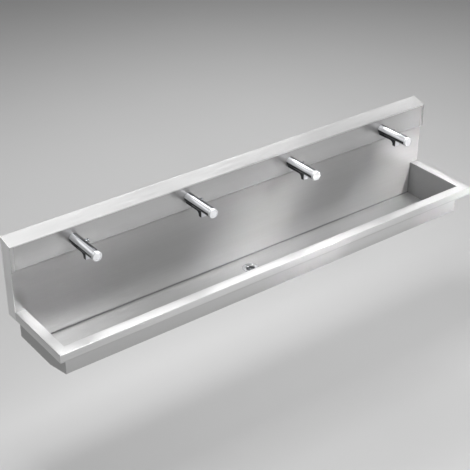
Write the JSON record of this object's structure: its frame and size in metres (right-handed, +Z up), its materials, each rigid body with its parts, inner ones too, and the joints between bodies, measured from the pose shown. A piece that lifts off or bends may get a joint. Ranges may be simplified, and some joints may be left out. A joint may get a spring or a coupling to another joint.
{
  "type": "trough sink",
  "caption": "Wall-hung stainless wash trough with boxed splashback, push taps with side levers and a floor waste.",
  "frame": {"origin": "on the wall plane, at the level of the rim's top and at mid-length, which is the centre of the wall bolts", "axes": "+X along the wall to the user's right, +Y into the wall, +Z up; the user stands on the -Y side"},
  "size_m": [2.4, 0.45, 0.6335],
  "materials": {
    "stainless": "satin brushed stainless sheet, grain along the length",
    "galvanised": "zinc-plated steel",
    "chrome": "mirror chrome plate",
    "brass": "machined brass",
    "copper": "drawn copper tube, slightly dull",
    "rubber": "smooth black rubber",
    "polymer": "white moulded polymer"
  },
  "bodies": {
    "trough": {"trough_pan": "stainless", "left_end_wall": "stainless", "right_end_wall": "stainless", "left_rim_rail": "stainless", "right_rim_rail": "stainless", "left_side_panel": "stainless", "right_side_panel": "stainless", "header_cover": "stainless", "duct_base_plate": "stainless", "waste_strainer": "stainless", "left_wall_bracket": "galvanised", "middle_wall_bracket": "galvanised", "right_wall_bracket": "galvanised", "floor_stiffener": "galvanised", "header_screws": "galvanised", "manifold_clips": "galvanised", "hot_manifold": "copper", "cold_manifold": "copper", "tap_gaskets": "rubber", "waste_gasket": "rubber", "tap_locknuts": "brass", "waste_locknut": "brass", "waste_flange": "chrome", "waste_body": "chrome", "tap_1_body": "chrome", "tap_1_bezel": "chrome", "tap_1_cartridge": "brass", "tap_1_spout_insert": "polymer", "tap_1_inlet_block": "brass", "tap_1_hot_pipe": "copper", "tap_1_cold_pipe": "copper", "tap_2_body": "chrome", "tap_2_bezel": "chrome", "tap_2_cartridge": "brass", "tap_2_spout_insert": "polymer", "tap_2_inlet_block": "brass", "tap_2_hot_pipe": "copper", "tap_2_cold_pipe": "copper", "tap_3_body": "chrome", "tap_3_bezel": "chrome", "tap_3_cartridge": "brass", "tap_3_spout_insert": "polymer", "tap_3_inlet_block": "brass", "tap_3_hot_pipe": "copper", "tap_3_cold_pipe": "copper", "tap_4_body": "chrome", "tap_4_bezel": "chrome", "tap_4_cartridge": "brass", "tap_4_spout_insert": "polymer", "tap_4_inlet_block": "brass", "tap_4_hot_pipe": "copper", "tap_4_cold_pipe": "copper"},
    "button_1": {"tap_1_button": "chrome"},
    "lever_1": {"tap_1_temperature_lever": "chrome"},
    "button_2": {"tap_2_button": "chrome"},
    "lever_2": {"tap_2_temperature_lever": "chrome"},
    "button_3": {"tap_3_button": "chrome"},
    "lever_3": {"tap_3_temperature_lever": "chrome"},
    "button_4": {"tap_4_button": "chrome"},
    "lever_4": {"tap_4_temperature_lever": "chrome"}
  },
  "joints": [
    {"name": "tap_1_button_press", "type": "slide", "parent": "trough", "child": "button_1", "axis": [0, 1, 0], "range_m": [0, 0.005], "stiffness_N_per_m": 1500, "springref_m": -0.006},
    {"name": "tap_1_lever_turn", "type": "hinge", "parent": "trough", "child": "lever_1", "pos_m": [-0.9, -0.134, 0.276], "axis": [1, 0, 0], "range_deg": [-45, 45]},
    {"name": "tap_2_button_press", "type": "slide", "parent": "trough", "child": "button_2", "axis": [0, 1, 0], "range_m": [0, 0.005], "stiffness_N_per_m": 1500, "springref_m": -0.006},
    {"name": "tap_2_lever_turn", "type": "hinge", "parent": "trough", "child": "lever_2", "pos_m": [-0.3, -0.134, 0.276], "axis": [1, 0, 0], "range_deg": [-45, 45]},
    {"name": "tap_3_button_press", "type": "slide", "parent": "trough", "child": "button_3", "axis": [0, 1, 0], "range_m": [0, 0.005], "stiffness_N_per_m": 1500, "springref_m": -0.006},
    {"name": "tap_3_lever_turn", "type": "hinge", "parent": "trough", "child": "lever_3", "pos_m": [0.3, -0.134, 0.276], "axis": [1, 0, 0], "range_deg": [-45, 45]},
    {"name": "tap_4_button_press", "type": "slide", "parent": "trough", "child": "button_4", "axis": [0, 1, 0], "range_m": [0, 0.005], "stiffness_N_per_m": 1500, "springref_m": -0.006},
    {"name": "tap_4_lever_turn", "type": "hinge", "parent": "trough", "child": "lever_4", "pos_m": [0.9, -0.134, 0.276], "axis": [1, 0, 0], "range_deg": [-45, 45]}
  ]
}
